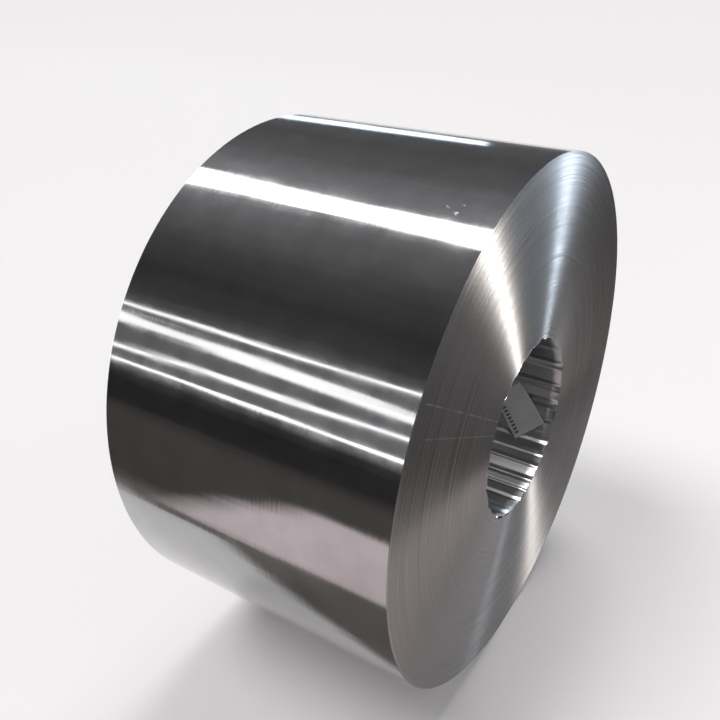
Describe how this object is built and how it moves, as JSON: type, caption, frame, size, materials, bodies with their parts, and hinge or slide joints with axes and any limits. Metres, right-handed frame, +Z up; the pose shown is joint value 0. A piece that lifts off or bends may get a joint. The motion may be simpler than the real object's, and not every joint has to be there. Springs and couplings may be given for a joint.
{
  "type": "steel coil",
  "caption": "Coil of bright thin steel strip lying on its side, tightly wound, with a level round eye, a rippled innermost turn and a plain card inside the eye.",
  "frame": {"origin": "on the floor, under the middle of the coil", "axes": "+X runs along the eye toward the end that is seen, +Y points away from the seen side, and +Z is up"},
  "size_m": [0.805, 1.4592, 1.4596],
  "materials": {
    "bright_strip": "bright rolled strip, near mirror, with fine grain round the coil and finely lined ends",
    "card": "matt grey card"
  },
  "bodies": {
    "root": {"steel_coil": "bright_strip", "label_card": "card"}
  },
  "joints": []
}
